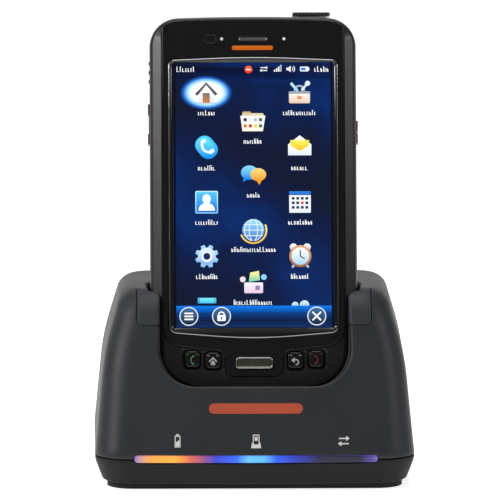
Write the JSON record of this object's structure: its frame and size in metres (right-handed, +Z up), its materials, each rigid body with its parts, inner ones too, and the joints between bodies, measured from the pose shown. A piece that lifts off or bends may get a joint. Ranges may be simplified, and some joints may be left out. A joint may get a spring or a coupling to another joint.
{
  "type": "personal digital assistant",
  "caption": "Rugged handheld computer with a tall touchscreen and front keys, standing in a charging dock with a light bar and a spare battery well.",
  "frame": {"origin": "middle of the dock's footprint on the table", "axes": "+Z up, -Y towards the user, so the screen faces -Y and leans back 15 degrees; +X to the user's right"},
  "size_m": [0.1132, 0.0912, 0.1614],
  "materials": {
    "case_plastic": "fine spark-eroded texture, satin",
    "gloss_black": "polished gloss",
    "touch_glass": "polished, lit from behind",
    "display_metal": "satin",
    "frame_metal": "die cast",
    "circuit_board": "solder mask",
    "shield_metal": "tinned",
    "key_plastic": "satin",
    "scan_metal": "satin chrome rim",
    "trigger_red": "satin",
    "grey_plastic": "satin",
    "mesh_metal": "woven",
    "inner_plastic": "matte",
    "lamp_clear": "polished",
    "sensor_red": "polished",
    "lens_dark": "polished",
    "seal_rubber": "matte",
    "screw_steel": "blackened",
    "dock_plastic": "fine spark-eroded texture",
    "insert_rubber": "soft, coarse grain",
    "foot_rubber": "matte",
    "light_guide": "frosted, lit",
    "contact_gold": "gold plated",
    "flex_amber": "film",
    "ballast_steel": "zinc plated",
    "port_black": "satin",
    "port_metal": "plated"
  },
  "bodies": {
    "dock": {"dock_upper_housing": "dock_plastic", "dock_lower_housing": "dock_plastic", "base_pad": "foot_rubber", "light_bar": "light_guide", "led_board": "circuit_board", "dock_board": "circuit_board", "connector_board": "circuit_board", "dock_connector": "contact_gold", "flex_cable": "flex_amber", "insert_left": "insert_rubber", "insert_right": "insert_rubber", "ballast_plate": "ballast_steel", "power_jack": "port_black", "usb_port": "port_metal", "charge_contacts": "contact_gold", "dock_screws": "screw_steel", "board_screws": "screw_steel"},
    "handset": {"front_housing": "case_plastic", "front_plate": "gloss_black", "screen_rim": "gloss_black", "touch_lens": "touch_glass", "display_module": "display_metal", "mid_frame": "frame_metal", "main_board": "circuit_board", "shield_cans": "shield_metal", "keypad_board": "circuit_board", "earpiece_mesh": "mesh_metal", "earpiece_receiver": "inner_plastic", "status_lights": "lamp_clear", "sensor_window": "sensor_red", "imager_engine": "inner_plastic", "imager_window": "lens_dark", "camera_module": "inner_plastic", "camera_window": "lens_dark", "flash_lens": "lamp_clear", "rear_speaker": "inner_plastic", "microphone": "contact_gold", "vibration_motor": "shield_metal", "io_connector": "inner_plastic", "rear_housing": "case_plastic", "housing_seal": "seal_rubber", "battery_pack": "inner_plastic", "power_key_bezel": "grey_plastic", "handset_screws": "screw_steel"},
    "key_send": {"key_send": "key_plastic"},
    "key_home": {"key_home": "key_plastic"},
    "key_back": {"key_back": "key_plastic"},
    "key_end": {"key_end": "key_plastic"},
    "scan_key": {"scan_key": "scan_metal"},
    "power_key": {"power_key": "key_plastic"},
    "volume_rocker": {"volume_rocker": "key_plastic"},
    "trigger_left": {"trigger_left": "trigger_red"},
    "trigger_right": {"trigger_right": "trigger_red"},
    "battery_door": {"battery_door": "case_plastic"},
    "door_latch": {"door_latch": "grey_plastic"},
    "spare_battery": {"spare_battery": "inner_plastic"}
  },
  "joints": [
    {"name": "handset_lift", "type": "slide", "parent": "dock", "child": "handset", "axis": [0, 0.2588, 0.9659], "range_m": [0, 0.06]},
    {"name": "spare_battery_lift", "type": "slide", "parent": "dock", "child": "spare_battery", "axis": [0, 0.2588, 0.9659], "range_m": [0, 0.04]},
    {"name": "battery_door_off", "type": "slide", "parent": "handset", "child": "battery_door", "axis": [0, 0.9659, -0.2588], "range_m": [0, 0.006]},
    {"name": "door_latch_slide", "type": "slide", "parent": "battery_door", "child": "door_latch", "axis": [0, -0.2588, -0.9659], "range_m": [0, 0.0025]},
    {"name": "key_send_press", "type": "slide", "parent": "handset", "child": "key_send", "axis": [0, 0.9659, -0.2588], "range_m": [0, 0.0004], "stiffness_N_per_m": 1200},
    {"name": "key_home_press", "type": "slide", "parent": "handset", "child": "key_home", "axis": [0, 0.9659, -0.2588], "range_m": [0, 0.0004], "stiffness_N_per_m": 1200},
    {"name": "key_back_press", "type": "slide", "parent": "handset", "child": "key_back", "axis": [0, 0.9659, -0.2588], "range_m": [0, 0.0004], "stiffness_N_per_m": 1200},
    {"name": "key_end_press", "type": "slide", "parent": "handset", "child": "key_end", "axis": [0, 0.9659, -0.2588], "range_m": [0, 0.0004], "stiffness_N_per_m": 1200},
    {"name": "scan_key_press", "type": "slide", "parent": "handset", "child": "scan_key", "axis": [0, 0.9659, -0.2588], "range_m": [0, 0.0004], "stiffness_N_per_m": 1200},
    {"name": "power_key_press", "type": "slide", "parent": "handset", "child": "power_key", "axis": [0, -0.2588, -0.9659], "range_m": [0, 0.0003], "stiffness_N_per_m": 1200},
    {"name": "volume_rock", "type": "hinge", "parent": "handset", "child": "volume_rocker", "pos_m": [-0.0352, 0.00994, 0.13997], "axis": [0, 0.9659, -0.2588], "range_deg": [-3, 3], "stiffness_Nm_per_rad": 0.02},
    {"name": "trigger_left_press", "type": "slide", "parent": "handset", "child": "trigger_left", "axis": [1, 0, 0], "range_m": [0, 0.0004], "stiffness_N_per_m": 1200},
    {"name": "trigger_right_press", "type": "slide", "parent": "handset", "child": "trigger_right", "axis": [-1, 0, 0], "range_m": [0, 0.0004], "stiffness_N_per_m": 1200}
  ]
}
